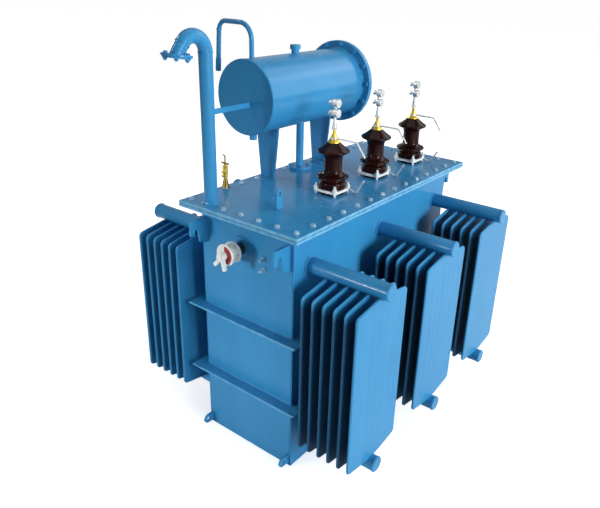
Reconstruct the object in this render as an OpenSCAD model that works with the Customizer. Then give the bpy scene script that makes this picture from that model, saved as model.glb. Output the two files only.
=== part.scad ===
// Oil-filled distribution transformer: a welded tank with six radiators, a bolted cover that
// carries three high-voltage bushings, an oil conservator on two legs and an explosion vent.
// Millimetres, +Z up, origin at the centre of the tank's underside, X along the tank.

/* [Tank] */
// Length of the tank outside
tank_l = 1140; // [900:10:1600]
// Width of the tank outside
tank_w = 460; // [380:10:700]
// Height of the tank walls above the floor
tank_h = 1018; // [980:2:1400]
// Thickness of the wall plates
wall_t = 6; // [4:1:10]
// Thickness of the base plate
base_t = 10; // [6:1:20]
// How far the rim flange and cover stand out from the walls
rim_out = 60; // [50:1:90]
// Thickness of the rim flange
rim_t = 10; // [6:1:16]
// Thickness of the cover gasket
gasket_t = 2; // [1:0.5:4]
// Thickness of the cover
cover_t = 12; // [8:1:20]
// Width of the stiffener bars
stiff_w = 48; // [30:1:60]
// Thickness of the stiffener bars
stiff_t = 8; // [5:1:14]
// Height of the lower stiffener
stiff_low = 296; // [200:1:420]
// Drop from the top of the tank walls to the upper stiffener
stiff_drop = 422; // [380:1:520]

/* [Radiators] */
// Distance between neighbouring radiators
rad_pitch = 475; // [400:5:600]
// Number of cooling fins on a radiator
fin_count = 6; // [3:1:9]
// Distance between fins
fin_pitch = 45; // [35:1:60]
// Distance of the first fin from the tank wall
fin_first = 88; // [75:1:120]
// Width of a fin
fin_w = 320; // [220:10:390]
// Thickness of a fin
fin_t = 11; // [8:0.5:16]
// Number of oil channels pressed into a fin
flute_count = 7; // [3:1:9]
// Width of the groove between two channels
groove_w = 7; // [4:1:12]
// Depth of the groove between two channels
groove_d = 1.6; // [0.5:0.1:2.5]
// Outside diameter of the header pipes
header_d = 60; // [48:1:76]
// Wall of the header pipes
header_wall = 4; // [2:0.5:8]
// Height of the lower header
header_low = 145; // [100:1:200]
// Drop from the top of the tank walls to the upper header
header_drop = 138; // [80:1:240]
// Length of header beyond the last fin, on the front and on the back
header_stub = [33, 57]; // [15:1:90]
// Drop from a header's axis to the shoulder of a fin
shoulder_drop = 43; // [32:1:90]
// Drop from a header's axis to the crown of a fin
crown_drop = 22; // [10:1:26]
// Radius of a fin's corners at the shoulders
fin_corner_r = 20; // [8:1:40]

/* [Conservator] */
// Outside diameter of the conservator
cons_d = 290; // [220:5:360]
// Position of its closed end along the tank
cons_left = -329; // [-420:1:-250]
// Length from the closed end to the bolted flange
cons_l = 618; // [500:1:800]
// Distance of its axis from the back edge of the cover
cons_in = 67; // [55:1:110]
// Height of its axis above the cover
cons_up = 353; // [300:1:450]
// Wall of the conservator
cons_wall = 5; // [3:1:8]
// Diameter of the bolted end flange
cons_flange_d = 356; // [330:2:420]
// Thickness of the end flange and of the end cover
cons_flange_t = 11; // [6:1:16]
// Positions of the two legs along the tank
leg_x = [-194, 160]; // [-240:1:240]
// Thickness of the legs
leg_t = 10; // [6:1:16]
// Width of the legs at the foot
leg_foot = 70; // [50:1:100]
// Width of the legs at the conservator
leg_top = 118; // [80:1:160]
// Outside diameter of the feed pipe
feed_d = 34; // [24:1:48]
// Position of the feed pipe along the tank
feed_x = 18; // [-60:1:80]

/* [Vent] */
// Outside diameter of the explosion vent
vent_d = 50; // [40:1:64]
// Distance of the vent from the left end and from the back edge of the cover
vent_in = [61.5, 114]; // [50:0.5:140]
// Height of the straight stretch above the cover
vent_up = 544; // [420:2:700]
// Centre-line radius of the gooseneck
vent_bend = 57; // [50:1:90]
// Angle of the gooseneck
vent_turn = 142; // [120:1:170]
// Diameter of the flange at the mouth
vent_flange_d = 106; // [90:2:150]
// Tilt of the flange at the mouth out of level
vent_tilt = 9; // [0:1:30]

/* [Bushings] */
// Distance of the last high-voltage bushing from the right end of the cover
hv_in = 170; // [150:1:220]
// Distance between neighbouring high-voltage bushings
hv_pitch = 310; // [260:5:340]
// Distance of the high-voltage bushings in front of the tank's centre line
hv_front = 88; // [60:1:120]
// Diameter of the seat under a clamp
seat_d = 100; // [80:1:104]
// Thickness of the seat
seat_t = 11; // [8:1:20]
// Side of the square clamp that holds a bushing
clamp_w = 108; // [100:1:130]
// Thickness of the clamp
clamp_t = 10; // [5:0.5:12]
// Diameter of a porcelain's foot
foot_d = 106; // [90:1:108]
// Diameter of a porcelain's sheds
shed_d = 128; // [110:1:140]
// Diameter of a porcelain's barrel
barrel_d = 73; // [50:1:80]
// Height of a porcelain
porcelain_h = 183; // [175:1:240]
// Height of the lower shed's lip on a porcelain
shed_low = 47; // [42:1:56]
// Drop from a porcelain's top to the upper shed's lip
shed_drop = 32; // [28:1:40]
// Diameter of a terminal stem
stem_d = 13; // [10:0.5:16]
// Spacing of the low-voltage bushings
lv_pitch = 95; // [80:1:110]
// Drop from the top of the tank walls to the low-voltage bushings
lv_drop = 218; // [180:1:340]

/* [Tap switch] */
// Distance of the tap switch behind the tank's centre line
tap_y = 18; // [-60:1:60]
// Drop from the top of the tank walls to the tap switch
tap_drop = 115; // [80:1:240]
// Diameter of the tap switch's shaft
tap_shaft_d = 12; // [8:1:16]
// Clearance round the shaft
tap_clear = 0.05; // [0.02:0.01:0.1]
// Length of the handle's two arms
lever_l = 48; // [35:1:70]

/* [Hidden] */
$fn = 48;

enamel = "#3a86c4";
porcelain = "#3a1712";
brass = "#c9a227";
zinc = "#c8ccd0";
red = "#a8202a";
cork = "#2a2622";

cover_l = tank_l + 2 * rim_out;
cover_w = tank_w + 2 * rim_out;
gasket_z = tank_h + rim_t;
cover_z = gasket_z + gasket_t;
top_z = cover_z + cover_t;
gasket_inset = 3;
over = 1;

// A plate with its long edges along X, centred on the tank
module plate(l, w, t) {
    translate([-l / 2, -w / 2, 0]) cube([l, w, t]);
}

// A flat rectangular ring, l by w outside and open over inner_l by inner_w
module frame_ring(l, w, inner_l, inner_w, t) {
    linear_extrude(t) difference() {
        square([l, w], center = true);
        square([inner_l, inner_w], center = true);
    }
}

// A cylinder lying along +X from its starting face
module rod_x(d, l) {
    rotate([0, 90, 0]) cylinder(d = d, h = l);
}

// A cylinder lying along -Y from its starting face
module rod_front(d, l) {
    rotate([90, 0, 0]) cylinder(d = d, h = l);
}

// Points of an arc round [x, y] from one angle to another
arc_steps = 4;

function arc(x, y, r, from, to) = [
    for (k = [0 : arc_steps])
        let (a = from + (to - from) * k / arc_steps)
        [x + r * cos(a), y + r * sin(a)]
];

// A low weld ring round a pipe's joint
bead_out = 1.5;
bead_w = 5;

module weld_bead(d) {
    cylinder(d = d + 2 * bead_out, h = bead_w, center = true);
}

// Tank

module base_plate() {
    color(enamel) plate(tank_l, tank_w, base_t);
}

module long_wall(side) {
    color(enamel) translate([-tank_l / 2, side > 0 ? tank_w / 2 - wall_t : -tank_w / 2, base_t])
        cube([tank_l, wall_t, tank_h - base_t]);
}

module end_plate() {
    inner_w = tank_w - 2 * wall_t;
    translate([tank_l / 2 - wall_t, -inner_w / 2, base_t]) cube([wall_t, inner_w, tank_h - base_t]);
}

// The left end wall has a welded pad for the tap switch
module left_end_wall() {
    color(enamel) {
        mirror([1, 0, 0]) end_plate();
        translate([-tank_l / 2 - tap_pad_t, tap_y, tank_h - tap_drop])
            rod_x(tap_pad_d, tap_pad_t + wall_t / 2);
    }
}

module right_end_wall() {
    color(enamel) end_plate();
}

module rim_flange() {
    color(enamel) translate([0, 0, tank_h])
        frame_ring(cover_l, cover_w, tank_l - 2 * wall_t, tank_w - 2 * wall_t, rim_t);
}

module cover_gasket() {
    color(cork) translate([0, 0, gasket_z])
        frame_ring(cover_l - 2 * gasket_inset, cover_w - 2 * gasket_inset,
            tank_l - 2 * wall_t, tank_w - 2 * wall_t, gasket_t);
}

module cover() {
    color(enamel) translate([0, 0, cover_z]) plate(cover_l, cover_w, cover_t);
}

module stiffener(z) {
    color(enamel) translate([0, 0, z])
        frame_ring(tank_l + 2 * stiff_w, tank_w + 2 * stiff_w, tank_l, tank_w, stiff_t);
}

// Lifting hooks: plates welded to the end walls below the rim, with an arched notch for a sling
hook_t = 12;
hook_out = 84;
hook_leg_w = 38;
hook_prong_w = 18;
hook_band = 29;
hook_prong_h = 60;
hook_leg_h = 104;
hook_leg_cut = 10;
hook_arch_r = 8;
hook_arch_out = 53;
hook_drop = 38;
hook_in = 24;
hook_y = tank_w / 2 - hook_in;

module hook() {
    rotate([90, 0, 0]) linear_extrude(hook_t, center = true) polygon(concat(
        [[0, 0], [0, -hook_leg_h], [hook_leg_w, hook_leg_cut - hook_leg_h]],
        arc(hook_arch_out, -hook_band - hook_arch_r, hook_arch_r, 180, 0),
        [[hook_out - hook_prong_w, -hook_prong_h], [hook_out, -hook_prong_h], [hook_out, 0]]
    ));
}

module lifting_hooks() {
    color(enamel) for (end = [0, 1], y = [-hook_y, hook_y])
        mirror([1 - end, 0, 0]) translate([tank_l / 2, y, tank_h - hook_drop]) hook();
}

// Pulling lugs: small rounded plates with an eye, low on the end walls
lug_t = 10;
lug_out = 32;
lug_r = 20;
lug_hole_d = 18;
lug_z = 34;
lug_in = 16;
lug_y = tank_w / 2 - lug_in;

module base_lugs() {
    color(enamel) for (end = [0, 1], y = [-lug_y, lug_y])
        mirror([1 - end, 0, 0]) translate([tank_l / 2, y, lug_z]) rotate([90, 0, 0])
            linear_extrude(lug_t, center = true) difference() {
                union() {
                    translate([0, -lug_r]) square([lug_out, 2 * lug_r]);
                    translate([lug_out, 0]) circle(r = lug_r);
                }
                translate([lug_out, 0]) circle(d = lug_hole_d);
            }
}

// Lugs on the cover that lift the core out: plates with a rounded head and an eye
cover_lug_in = [185, 55];
cover_lug_y = -52;
cover_lug_w = 32;
cover_lug_h = 56;
cover_lug_t = 9;
cover_lug_hole_d = 16;

module cover_lugs() {
    color(enamel) for (x = [cover_lug_in[0] - cover_l / 2, cover_l / 2 - cover_lug_in[1]])
        translate([x, cover_lug_y, top_z]) rotate([90, 0, 0]) linear_extrude(cover_lug_t, center = true)
            difference() {
                union() {
                    translate([-cover_lug_w / 2, 0]) square([cover_lug_w, cover_lug_h]);
                    translate([0, cover_lug_h]) circle(d = cover_lug_w);
                }
                translate([0, cover_lug_h]) circle(d = cover_lug_hole_d);
            }
}

// Radiators: pressed fins that hang between an upper and a lower header pipe

fin_half = fin_w / 2;
flute_pitch = (fin_w - fin_t) / flute_count;
header_high = tank_h - header_drop;
cap_t = 6;
groove_floor = 0.4;

// Section of a pressed groove: it narrows towards its floor
module groove() {
    half = groove_w / 2;
    floor_half = half * groove_floor;
    polygon([
        [-half, 0], [-floor_half, -groove_d], [floor_half, -groove_d], [half, 0],
        [half, over], [-half, over]
    ]);
}

// Section of a fin seen from above: rolled edges, with grooves pressed between the oil channels
module fin_section() {
    difference() {
        union() {
            square([fin_w - fin_t, fin_t], center = true);
            for (s = [-1, 1]) translate([s * (fin_half - fin_t / 2), 0]) circle(d = fin_t);
        }
        for (i = [1 : flute_count - 1], s = [-1, 1])
            translate([(i - flute_count / 2) * flute_pitch, s * fin_t / 2]) scale([1, s]) groove();
    }
}

// Outline of a fin seen from the front: rounded shoulders that slope up to the header
module fin_outline() {
    crown = header_d / 2;
    slope = atan((shoulder_drop - crown_drop) / (fin_half - crown));
    side = fin_half - fin_corner_r;
    inset = shoulder_drop + fin_corner_r * (1 - sin(slope)) / cos(slope);
    low = header_low + inset;
    high = header_high - inset;
    polygon(concat(
        [[-crown, header_low + crown_drop], [crown, header_low + crown_drop]],
        arc(side, low, fin_corner_r, slope - 90, 0),
        arc(side, high, fin_corner_r, 0, 90 - slope),
        [[crown, header_high - crown_drop], [-crown, header_high - crown_drop]],
        arc(-side, high, fin_corner_r, 90 + slope, 180),
        arc(-side, low, fin_corner_r, 180, 270 - slope)
    ));
}

module fin() {
    difference() {
        intersection() {
            translate([0, 0, header_low]) linear_extrude(header_high - header_low) fin_section();
            rotate([90, 0, 0]) linear_extrude(2 * fin_t, center = true) fin_outline();
        }
        for (z = [header_low, header_high])
            translate([0, fin_t, z]) rod_front(header_d, 2 * fin_t);
    }
}

// The fins of radiator i on the front, or mirrored on the back
module fins(i, back) {
    color(enamel) mirror([0, back ? 1 : 0, 0]) for (n = [0 : fin_count - 1])
        translate([(i - 1) * rad_pitch, -tank_w / 2 - fin_first - n * fin_pitch, 0]) fin();
}

// A header pipe, open at the tank and capped beyond the last fin
module header_pipe(stub) {
    header_l = fin_first + (fin_count - 1) * fin_pitch + stub;
    difference() {
        rod_front(header_d, header_l);
        translate([0, over, 0]) rod_front(header_d - 2 * header_wall, header_l - cap_t + over);
    }
}

module headers(back) {
    color(enamel) mirror([0, back ? 1 : 0, 0])
        for (x = [-rad_pitch, 0, rad_pitch], z = [header_low, header_high])
            translate([x, -tank_w / 2, z]) header_pipe(header_stub[back ? 1 : 0]);
}

// Conservator: a rolled drum on two legs, with a bolted cover at its far end

cons_y = cover_w / 2 - cons_in;
cons_z = top_z + cons_up;
cons_r = cons_d / 2;
cons_end_t = 6;
leg_reach = cons_up - 0.9 * cons_r;

module at_conservator(x = 0) {
    translate([cons_left + x, cons_y, cons_z]) children();
}

module drum_space() {
    at_conservator() rod_x(cons_d, cons_l);
}

module conservator_shell() {
    color(enamel) at_conservator(cons_end_t) difference() {
        rod_x(cons_d, cons_l - cons_end_t);
        translate([-over, 0, 0]) rod_x(cons_d - 2 * cons_wall, cons_l + 2 * over);
    }
}

module conservator_end_disc() {
    color(enamel) at_conservator() rod_x(cons_d, cons_end_t);
}

module conservator_flange() {
    color(enamel) at_conservator(cons_l - cons_flange_t) difference() {
        rod_x(cons_flange_d, cons_flange_t);
        translate([-over, 0, 0]) rod_x(cons_d, cons_flange_t + 2 * over);
    }
}

module conservator_end_cover() {
    color(enamel) at_conservator(cons_l) rod_x(cons_flange_d, cons_flange_t);
}

module conservator_legs() {
    color(enamel) difference() {
        for (x = leg_x) translate([x - leg_t / 2, cons_y, top_z]) rotate([90, 0, 90])
            linear_extrude(leg_t) polygon([
                [-leg_foot / 2, 0], [leg_foot / 2, 0], [leg_top / 2, leg_reach], [-leg_top / 2, leg_reach]
            ]);
        drum_space();
    }
}

feed_flange_d = 104;
feed_flange_t = 12;

module feed_flange() {
    color(enamel) translate([feed_x, cons_y, top_z]) cylinder(d = feed_flange_d, h = feed_flange_t);
}

module feed_pipe() {
    color(enamel) difference() {
        translate([feed_x, cons_y, top_z + feed_flange_t])
            cylinder(d = feed_d, h = cons_up - feed_flange_t - cons_r / 2);
        drum_space();
    }
}

filler_x = -25;
filler_neck_d = 32;
filler_neck_h = 16;
filler_cap_d = 44;
filler_cap_h = 18;

module filler_cap() {
    color(enamel) difference() {
        translate([filler_x, cons_y, cons_z]) {
            cylinder(d = filler_neck_d, h = cons_r + filler_neck_h);
            translate([0, 0, cons_r + filler_neck_h]) cylinder(d = filler_cap_d, h = filler_cap_h);
        }
        drum_space();
    }
}

drain_x = -283;
drain_d = 30;
drain_h = 26;

module drain_boss() {
    color(enamel) difference() {
        translate([drain_x, cons_y, cons_z - cons_r - drain_h])
            cylinder(d = drain_d, h = drain_h + cons_r / 2);
        drum_space();
    }
}

// Breather pipe: rises from the drum, sweeps over towards the back and hangs open behind it
breather_x = -287;
breather_d = 18.5;
breather_up = 66;
breather_bend = [60, 36];
breather_turn = 86;
breather_span = 172;
breather_down = 159;
breather_cup_d = 22;
breather_cup_h = 50;

// A bend in the YZ plane that leaves the origin along +Z and turns towards +Y
module bend(d, r, turn) {
    translate([0, r, 0]) rotate([90, 0, -90]) rotate_extrude(angle = turn)
        translate([r, 0]) circle(d = d);
}

// The bend over the far end of the top run, and the leg with its cup
module breather_leg() {
    r = breather_bend[1];
    bend(breather_d, r, breather_turn);
    translate([0, r * (1 - cos(breather_turn)), r * sin(breather_turn)]) rotate([-breather_turn, 0, 0]) {
        cylinder(d = breather_d, h = breather_down);
        weld_bead(breather_d);
        translate([0, 0, breather_down - breather_cup_h])
            cylinder(d = breather_cup_d, h = breather_cup_h);
    }
}

module breather_pipe() {
    run = breather_span - breather_bend[0] - breather_bend[1];
    color(enamel) difference() {
        translate([breather_x, cons_y, cons_z]) {
            cylinder(d = breather_d, h = cons_r + breather_up);
            translate([0, 0, cons_r + breather_up]) {
                bend(breather_d, breather_bend[0], 90);
                translate([0, breather_bend[0], breather_bend[0]]) rotate([-90, 0, 0]) {
                    cylinder(d = breather_d, h = run);
                    translate([0, 0, run]) breather_leg();
                }
            }
        }
        drum_space();
    }
}

// Explosion vent: a gooseneck pipe with a bolted flange at its mouth, stayed to the drum

vent_tail = 40;
vent_flange_t = 8;
vent_plate_t = 6;
vent_foot_d = 66;
vent_foot_t = 5;
vent_plate_in = 5;
vent_x = vent_in[0] - cover_l / 2;
vent_y = cover_w / 2 - vent_in[1];
vent_mitre = 180 - vent_turn - vent_tilt;

// Puts its children at the end of the gooseneck, with +Z running on along the pipe
module at_vent_mouth() {
    translate([vent_x - vent_bend, vent_y, top_z + vent_up]) rotate([0, -vent_turn, 0])
        translate([vent_bend, 0, 0]) children();
}

// Puts its children on the mitred end of the pipe, with +Z running out of the mouth
module at_vent_seat() {
    at_vent_mouth() translate([0, 0, vent_tail]) rotate([0, -vent_mitre, 0]) children();
}

module vent_pipe() {
    color(enamel) {
        translate([vent_x, vent_y, top_z]) {
            cylinder(d = vent_d, h = vent_up);
            cylinder(d = vent_foot_d, h = vent_foot_t);
            translate([0, 0, vent_up]) weld_bead(vent_d);
        }
        translate([vent_x - vent_bend, vent_y, top_z + vent_up]) rotate([90, 0, 0])
            rotate_extrude(angle = vent_turn) translate([vent_bend, 0]) circle(d = vent_d);
        at_vent_mouth() weld_bead(vent_d);
        difference() {
            at_vent_mouth() cylinder(d = vent_d, h = vent_tail + vent_d);
            at_vent_seat() translate([-vent_flange_d, -vent_flange_d, 0]) cube(2 * vent_flange_d);
        }
    }
}

module vent_flange() {
    color(enamel) at_vent_seat() {
        cylinder(d = vent_flange_d, h = vent_flange_t);
        translate([0, 0, vent_flange_t]) cylinder(d = vent_flange_d - 2 * vent_plate_in, h = vent_plate_t);
    }
}

brace_front = 26;
brace_drop = 22;
brace_w = 20;
brace_t = 6;

// A flat bar from the vent pipe to the drum's end disc
module brace_bar() {
    color(enamel) difference() {
        translate([vent_x, cons_y - brace_front - brace_t / 2, cons_z - brace_drop - brace_w / 2])
            cube([cons_left - vent_x, brace_t, brace_w]);
        translate([vent_x, vent_y, top_z]) cylinder(d = vent_d, h = vent_up);
    }
}

// Brass oil valve on the back edge of the cover: foot, body with two ports, crosshead, bent pin
valve_in = [224, 28];
valve_foot_d = [30, 13];
valve_foot_h = 44;
valve_body_d = 21;
valve_body_h = 47;
valve_port_d = 9;
valve_port_out = 18;
valve_port_z = [53, 69];
valve_neck_d = 10;
valve_neck_h = 14;
valve_head_d = 8;
valve_head_l = 38;
valve_head_z = 102;
valve_pin_d = 6;
valve_pin_top = 134;
valve_hook_d = 5;
valve_hook_l = 13;
valve_hook_turn = 50;

module oil_valve() {
    color(brass) translate([valve_in[0] - cover_l / 2, cover_w / 2 - valve_in[1], top_z]) {
        cylinder(d1 = valve_foot_d[0], d2 = valve_foot_d[1], h = valve_foot_h);
        translate([0, 0, valve_foot_h]) {
            cylinder(d = valve_body_d, h = valve_body_h);
            cylinder(d = valve_neck_d, h = valve_body_h + valve_neck_h);
        }
        for (z = valve_port_z) translate([-valve_port_out, 0, z]) rod_x(valve_port_d, valve_port_out);
        translate([0, valve_head_l / 2, valve_head_z]) rod_front(valve_head_d, valve_head_l);
        translate([0, 0, valve_head_z]) cylinder(d = valve_pin_d, h = valve_pin_top - valve_head_z);
        translate([0, 0, valve_pin_top - valve_pin_d / 2]) rotate([0, -valve_hook_turn, 0])
            cylinder(d = valve_hook_d, h = valve_hook_l);
    }
}

// High-voltage bushings: a porcelain on a square clamp and a seat, a brass terminal, a connector
// and a pair of arcing horns

seat_top = top_z + seat_t;
clamp_top = seat_top + clamp_t;
porcelain_top = clamp_top + porcelain_h;
clamp_chamfer = 6;
stud_in = 9;
stud_hole_d = 10.5;

module at_hv() {
    for (i = [0 : 2]) translate([cover_l / 2 - hv_in - i * hv_pitch, -hv_front, 0]) children();
}

// A square plate with cut corners and a hole for a stud in each
module clamp_plate() {
    half = clamp_w / 2;
    flat = half - clamp_chamfer;
    stud = half - stud_in;
    translate([0, 0, seat_top]) linear_extrude(clamp_t) difference() {
        polygon([
            [-half, -flat], [-flat, -half], [flat, -half], [half, -flat],
            [half, flat], [flat, half], [-flat, half], [-half, flat]
        ]);
        for (x = [-stud, stud], y = [-stud, stud]) translate([x, y]) circle(d = stud_hole_d);
    }
}

module hv_clamps() {
    color(zinc) at_hv() clamp_plate();
}

foot_h = 29;
foot_edge = 4;
lip_r = 6;
lip_flat = 0.8;
waist_out = 5;
waist_z = 36;
shed_rise = 13.5;
barrel_low = 68;
under_drop = 17;
barrel_high = 28;
head_r = 32;
head_drop = 9;
crown_r = 25;

// Half section of a shed's rounded lip at height z
module lip(r, z) {
    translate([r - lip_r, z]) circle(r = lip_r);
}

// Half section of a porcelain: foot, lower shed, barrel, upper shed that slopes to the head
module porcelain_section() {
    foot_r = foot_d / 2;
    barrel_r = barrel_d / 2;
    tip = shed_d / 2 - lip_r;
    edge = lip_r * lip_flat;
    upper = porcelain_h - shed_drop;
    polygon([
        [0, 0], [foot_r - foot_edge, 0], [foot_r, foot_edge], [foot_r, foot_h - foot_edge],
        [foot_r - foot_edge, foot_h], [barrel_r + waist_out, waist_z], [tip, shed_low - edge],
        [tip, shed_low + edge], [barrel_r + waist_out, shed_low + shed_rise], [barrel_r, barrel_low],
        [barrel_r, upper - barrel_high], [barrel_r + waist_out, upper - under_drop],
        [tip, upper - edge], [tip, upper + edge], [head_r, porcelain_h - head_drop],
        [crown_r, porcelain_h], [0, porcelain_h]
    ]);
    lip(shed_d / 2, shed_low);
    lip(shed_d / 2, upper);
}

// The porcelains, and the seats under their clamps
module hv_porcelains() {
    color(porcelain) at_hv() {
        translate([0, 0, clamp_top]) rotate_extrude() porcelain_section();
        translate([0, 0, top_z]) cylinder(d = seat_d, h = seat_t);
    }
}

collar_d = 34;
collar_h = 14;
horn_eye_t = 7;
cone_d = [26, 16];
cone_h = 13;
stem_l = 71;

// A terminal: the collar with its stem, and a cone nut that holds the horn's eye on the collar
module hv_terminals() {
    color(brass) at_hv() translate([0, 0, porcelain_top]) {
        cylinder(d = collar_d, h = collar_h);
        cylinder(d = stem_d, h = stem_l);
        translate([0, 0, collar_h + horn_eye_t]) difference() {
            cylinder(d1 = cone_d[0], d2 = cone_d[1], h = cone_h);
            translate([0, 0, -over]) cylinder(d = stem_d, h = cone_h + 2 * over);
        }
    }
}

connector_up = 51;
socket_d = 17;
socket_h = 27;
socket_nut_d = 22;
socket_nut_h = 8;
bar_d = 12;
bar_h = 106;
grip_d = 32;
grip_z = [62, 100];
grip_front = 17;
grip_back = 4;
grip_bolt_d = 10;
grip_bolt_back = 25;
grip_head_d = 19;
grip_head_t = 8;

// A connector: a socket on the stem, and a bar with two bolted wire grips
module hv_connectors() {
    color(zinc) at_hv() translate([0, 0, porcelain_top + connector_up]) difference() {
        union() {
            cylinder(d = socket_nut_d, h = socket_nut_h, $fn = 6);
            cylinder(d = socket_d, h = socket_h);
            cylinder(d = bar_d, h = bar_h);
            for (z = grip_z) translate([0, 0, z]) {
                translate([0, grip_back, 0]) rod_front(grip_d, grip_front + grip_back);
                translate([0, grip_bolt_back, 0]) {
                    rod_front(grip_bolt_d, grip_bolt_back);
                    rotate([90, 0, 0]) cylinder(d = grip_head_d, h = grip_head_t, $fn = 6);
                }
            }
        }
        translate([0, 0, -over]) cylinder(d = stem_d, h = stem_l - connector_up + over);
    }
}

horn_d = 7;
horn_eye_d = 30;
horn_bend = 12;
upper_horn = [100, 53, 62];
lower_horn = [28, 85, 58];
lower_horn_tilt = 25;
lower_horn_x = 44;

// A rod that runs forward, bends down and runs on from a low seam
seam_out = 0.3;
seam_w = 2;

module bent_rod(d, straight, turn, bend, tail) {
    rod_front(d, straight);
    translate([0, -straight, -bend]) rotate([0, 90, 0]) {
        rotate([0, 0, 180]) rotate_extrude(angle = turn) translate([bend, 0]) circle(d = d);
        rotate([0, 0, 180 + turn]) translate([bend, 0, 0]) rotate([-90, 0, 0]) {
            cylinder(d = d, h = tail);
            cylinder(d = d + 2 * seam_out, h = seam_w, center = true);
        }
    }
}

// The upper horn leaves an eye on the collar, the lower one a side of the clamp
module hv_horns() {
    color(zinc) at_hv() {
        translate([0, 0, porcelain_top + collar_h]) difference() {
            union() {
                cylinder(d = horn_eye_d, h = horn_eye_t);
                translate([0, 0, horn_eye_t / 2])
                    bent_rod(horn_d, upper_horn[0], upper_horn[1], horn_bend, upper_horn[2]);
            }
            translate([0, 0, -over]) cylinder(d = stem_d, h = horn_eye_t + 2 * over);
        }
        difference() {
            translate([lower_horn_x, -clamp_w / 2, seat_top + clamp_t / 2])
                rotate([-lower_horn_tilt, 180, 0]) translate([0, horn_d / 2, 0])
                    bent_rod(horn_d, lower_horn[0], lower_horn[1], horn_bend, lower_horn[2]);
            translate([-clamp_w / 2, -clamp_w / 2, top_z]) cube([clamp_w, clamp_w, porcelain_h]);
        }
    }
}

// Low-voltage bushings in a row on the far end wall
lv_count = 4;
lv_porcelain_l = 74;
lv_foot_r = 38;
lv_foot_h = 14;
lv_barrel_r = 25;
lv_shed_r = [38, 34];
lv_shed_z = [34, 57];
lv_lip_r = 3.5;
lv_slope = 9;
lv_head_r = 19;
lv_nut_d = 34;
lv_nut_h = 10;
lv_stem_d = 20;
lv_stem_l = 58;

module at_lv() {
    for (i = [0 : lv_count - 1])
        translate([tank_l / 2, (i - (lv_count - 1) / 2) * lv_pitch, tank_h - lv_drop])
            rotate([0, 90, 0]) children();
}

// Half section of a small porcelain: foot, two sheds and a narrow head
module lv_section() {
    edge = lv_lip_r * lip_flat;
    square([lv_head_r, lv_porcelain_l]);
    polygon([
        [0, 0], [lv_foot_r, 0], [lv_foot_r, lv_foot_h], [lv_barrel_r, lv_foot_h + lv_slope],
        [lv_barrel_r, lv_shed_z[1] + lv_slope], [0, lv_shed_z[1] + lv_slope]
    ]);
    for (i = [0, 1]) translate([0, lv_shed_z[i]]) {
        polygon([
            [0, -lv_slope], [lv_barrel_r - over, -lv_slope], [lv_shed_r[i] - lv_lip_r, -edge],
            [lv_shed_r[i] - lv_lip_r, edge], [lv_barrel_r - over, lv_slope - over], [0, lv_slope - over]
        ]);
        translate([lv_shed_r[i] - lv_lip_r, 0]) circle(r = lv_lip_r);
    }
}

module lv_porcelains() {
    color(porcelain) at_lv() rotate_extrude() lv_section();
}

module lv_terminals() {
    color(brass) at_lv() translate([0, 0, lv_porcelain_l]) {
        cylinder(d = lv_nut_d, h = lv_nut_h, $fn = 6);
        cylinder(d = lv_stem_d, h = lv_stem_l);
    }
}

// Tap switch on the end wall: fixed barrel and dial, and a handle that turns on the shaft

tap_pad_d = 92;
tap_pad_t = 8;
tap_barrel_d = 48;
tap_ring_out = 45;
tap_ring_d = 80;
tap_ring_t = 10;
tap_neck_d = 40;
tap_dial_out = 86;
tap_dial_d = 84;
tap_dial_t = 4;
tap_gap = 6;
tap_hub_d = 32;
tap_hub_t = 20;
tap_nut_d = 22;
tap_nut_t = 7;
tap_end_play = 0.5;
tap_hub_out = tap_dial_out + tap_dial_t + tap_gap;
tap_shaft_out = tap_hub_out + tap_hub_t + tap_end_play;

// Puts its children on the switch's axis, with +Z running out from the end wall
module at_tap() {
    translate([-tank_l / 2, tap_y, tank_h - tap_drop]) rotate([0, -90, 0]) children();
}

module tap_switch() {
    color(zinc) at_tap() {
        translate([0, 0, tap_pad_t]) {
            cylinder(d = tap_barrel_d, h = tap_ring_out - tap_pad_t);
            cylinder(d = tap_neck_d, h = tap_dial_out - tap_pad_t);
            cylinder(d = tap_shaft_d, h = tap_shaft_out - tap_pad_t);
        }
        translate([0, 0, tap_ring_out]) cylinder(d = tap_ring_d, h = tap_ring_t);
        translate([0, 0, tap_shaft_out]) cylinder(d = tap_nut_d, h = tap_nut_t, $fn = 6);
    }
}

module tap_dial() {
    color(red) at_tap() translate([0, 0, tap_dial_out]) difference() {
        cylinder(d = tap_dial_d, h = tap_dial_t);
        translate([0, 0, -over]) cylinder(d = tap_shaft_d, h = tap_dial_t + 2 * over);
    }
}

lever_w = 13;
lever_tip_d = 16;
lever_t = 10;
lever_turn = 140;
pointer_turn = 195;

// Outline of the handle's two arms, spread like a fork, with rounded tips
module handle_arms() {
    for (turn = [lever_turn, pointer_turn]) rotate([0, 0, turn]) {
        translate([0, -lever_w / 2]) square([lever_l, lever_w]);
        translate([lever_l, 0]) circle(d = lever_tip_d);
    }
}

module tap_handle() {
    color(zinc) at_tap() translate([0, 0, tap_hub_out]) difference() {
        union() {
            cylinder(d = tap_hub_d, h = tap_hub_t);
            translate([0, 0, (tap_hub_t - lever_t) / 2]) linear_extrude(lever_t) handle_arms();
        }
        translate([0, 0, -over])
            cylinder(d = tap_shaft_d + 2 * tap_clear, h = tap_hub_t + 2 * over);
    }
}

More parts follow.
